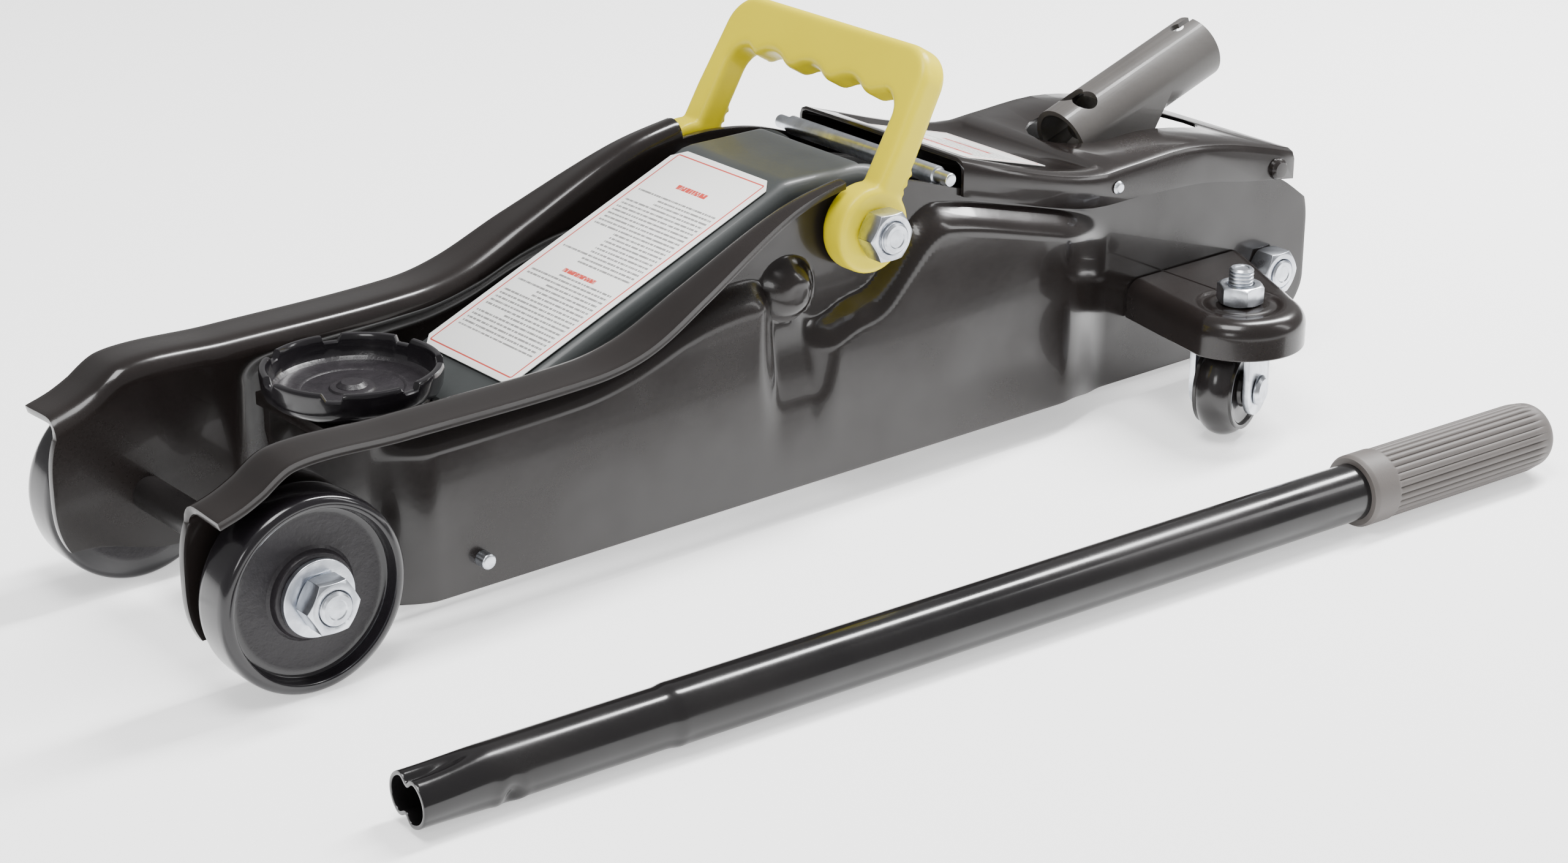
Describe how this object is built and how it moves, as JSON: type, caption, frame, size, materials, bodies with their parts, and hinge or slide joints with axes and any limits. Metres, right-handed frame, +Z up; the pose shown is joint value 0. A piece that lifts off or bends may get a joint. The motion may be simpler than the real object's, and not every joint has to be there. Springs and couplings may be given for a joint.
{
  "type": "hydraulic floor jack",
  "caption": "Low-profile hydraulic trolley jack with pressed steel side plates, a lifting arm with a round swivel saddle, swivel casters, a folding carry handle and a separate pump lever.",
  "frame": {"origin": "middle of the footprint of the jack and its lever, on the floor", "axes": "+X along the jack from the saddle end towards the handle end, +Z up, lever on the -Y side"},
  "size_m": [0.549, 0.3373, 0.1742],
  "materials": {
    "black_paint": "gloss",
    "cast_iron": "satin",
    "grey_paint": "satin",
    "grey_steel": "satin",
    "rubber": "matte",
    "steel": "satin",
    "sticker": "satin",
    "wheel_plastic": "gloss",
    "yellow_plastic": "satin",
    "zinc": "satin"
  },
  "bodies": {
    "frame": {"side_plate_left": "black_paint", "side_plate_right": "black_paint", "front_axle": "zinc", "front_nut_left": "zinc", "front_nut_right": "zinc", "front_washer_left": "zinc", "front_washer_right": "zinc", "front_rivet_left": "zinc", "front_rivet_right": "zinc", "spring_anchor_rod": "zinc", "arm_pivot_shaft": "zinc", "pivot_nut_left": "zinc", "pivot_nut_right": "zinc", "link_stud_left": "steel", "link_stud_right": "steel", "power_unit_body": "grey_steel", "ram_cylinder": "grey_steel", "rear_mount_bolt": "zinc", "rear_mount_nut": "zinc", "top_cover": "black_paint", "cover_screw_left": "zinc", "cover_screw_right": "zinc", "cover_label": "sticker", "socket_pin": "steel", "caster_bracket_left": "black_paint", "caster_bracket_right": "black_paint", "swivel_bolt_left": "zinc", "swivel_bolt_right": "zinc", "swivel_nut_left": "zinc", "swivel_nut_right": "zinc", "return_spring_left": "steel", "return_spring_right": "steel", "pump_spring": "steel"},
    "front_wheel_left": {"front_wheel_left": "cast_iron"},
    "front_wheel_right": {"front_wheel_right": "cast_iron"},
    "arm": {"lift_arm": "grey_paint", "knee_pin": "steel", "saddle_pin": "steel", "arm_sticker": "sticker"},
    "saddle_carrier": {"saddle_bracket": "black_paint", "link_pin": "steel", "saddle_screw": "steel"},
    "saddle": {"saddle": "cast_iron"},
    "link_left": {"radius_link_left": "steel"},
    "link_right": {"radius_link_right": "steel"},
    "ram": {"ram_yoke": "grey_steel", "ram_rod": "steel"},
    "socket": {"handle_socket": "grey_steel"},
    "valve_dog": {"valve_drive_dog": "steel"},
    "plunger": {"pump_plunger": "steel"},
    "valve": {"release_valve": "steel"},
    "caster_left": {"caster_fork_left": "zinc", "caster_rivet_left": "zinc"},
    "caster_right": {"caster_fork_right": "zinc", "caster_rivet_right": "zinc"},
    "caster_wheel_left": {"caster_wheel_left": "wheel_plastic"},
    "caster_wheel_right": {"caster_wheel_right": "wheel_plastic"},
    "carry_handle": {"carry_handle": "yellow_plastic"},
    "pump_lever": {"pump_lever_tube": "black_paint", "pump_lever_grip": "rubber"}
  },
  "joints": [
    {"name": "arm_lift", "type": "hinge", "parent": "frame", "child": "arm", "pos_m": [0.0165, 0.04645, 0.11], "axis": [0, 1, 0], "range_deg": [0, 80]},
    {"name": "saddle_level", "type": "hinge", "parent": "arm", "child": "saddle_carrier", "pos_m": [-0.1755, 0.04645, 0.042], "axis": [0, 1, 0], "range_deg": [-80, 0]},
    {"name": "saddle_swivel", "type": "hinge", "parent": "saddle_carrier", "child": "saddle", "pos_m": [-0.1772, 0.04645, 0.071], "axis": [0, 0, 1], "continuous": true},
    {"name": "link_swing_left", "type": "hinge", "parent": "frame", "child": "link_left", "pos_m": [0.0088, 0.0087, 0.08939], "axis": [0, 1, 0], "range_deg": [0, 80]},
    {"name": "link_swing_right", "type": "hinge", "parent": "frame", "child": "link_right", "pos_m": [0.0088, 0.0842, 0.08939], "axis": [0, 1, 0], "range_deg": [0, 80]},
    {"name": "ram_slide", "type": "slide", "parent": "frame", "child": "ram", "axis": [-1, 0, 0], "range_m": [0, 0.0618], "deforming": ["return_spring_left", "return_spring_right"]},
    {"name": "front_wheel_roll_left", "type": "hinge", "parent": "frame", "child": "front_wheel_left", "pos_m": [-0.2375, -0.00505, 0.036], "axis": [0, 1, 0], "continuous": true},
    {"name": "front_wheel_roll_right", "type": "hinge", "parent": "frame", "child": "front_wheel_right", "pos_m": [-0.2375, 0.09795, 0.036], "axis": [0, 1, 0], "continuous": true},
    {"name": "socket_pump", "type": "hinge", "parent": "frame", "child": "socket", "pos_m": [0.1925, 0.04645, 0.09], "axis": [0, -1, 0], "range_deg": [0, 50]},
    {"name": "valve_dog_turn", "type": "hinge", "parent": "socket", "child": "valve_dog", "pos_m": [0.19129, 0.04645, 0.10826], "axis": [0.9455, 0, 0.3256], "range_deg": [0, 180]},
    {"name": "valve_turn", "type": "hinge", "parent": "frame", "child": "valve", "pos_m": [0.1775, 0.06145, 0.074], "axis": [0, 0, 1], "range_deg": [0, 180]},
    {"name": "plunger_slide", "type": "slide", "parent": "frame", "child": "plunger", "axis": [0, 0, 1], "range_m": [0, 0.009], "deforming": ["pump_spring"]},
    {"name": "caster_swivel_left", "type": "hinge", "parent": "frame", "child": "caster_left", "pos_m": [0.1825, -0.04955, 0.047], "axis": [0, 0, 1], "continuous": true},
    {"name": "caster_swivel_right", "type": "hinge", "parent": "frame", "child": "caster_right", "pos_m": [0.1825, 0.14245, 0.047], "axis": [0, 0, 1], "continuous": true},
    {"name": "caster_roll_left", "type": "hinge", "parent": "caster_left", "child": "caster_wheel_left", "pos_m": [0.17592, -0.05194, 0.021], "axis": [0.342, -0.9397, 0], "continuous": true},
    {"name": "caster_roll_right", "type": "hinge", "parent": "caster_right", "child": "caster_wheel_right", "pos_m": [0.17592, 0.14484, 0.021], "axis": [0.342, 0.9397, 0], "continuous": true},
    {"name": "carry_handle_fold", "type": "hinge", "parent": "frame", "child": "carry_handle", "pos_m": [0.0165, 0.04645, 0.11], "axis": [0, 1, 0], "range_deg": [-28, 36]},
    {"name": "pump_lever_lift_off", "type": "slide", "parent": "frame", "child": "pump_lever", "axis": [0, 0, 1], "range_m": [0, 0.15]}
  ],
  "couplings": [
    {"joint": "saddle_level", "follows": "arm_lift", "ratio": -1},
    {"joint": "link_swing_left", "follows": "arm_lift", "ratio": 1},
    {"joint": "link_swing_right", "follows": "arm_lift", "ratio": 1},
    {"joint": "ram_slide", "follows": "arm_lift", "m_per_rad": 0.04419},
    {"joint": "plunger_slide", "follows": "socket_pump", "m_per_rad": 0.0102},
    {"joint": "valve_turn", "follows": "valve_dog_turn", "ratio": 1}
  ]
}
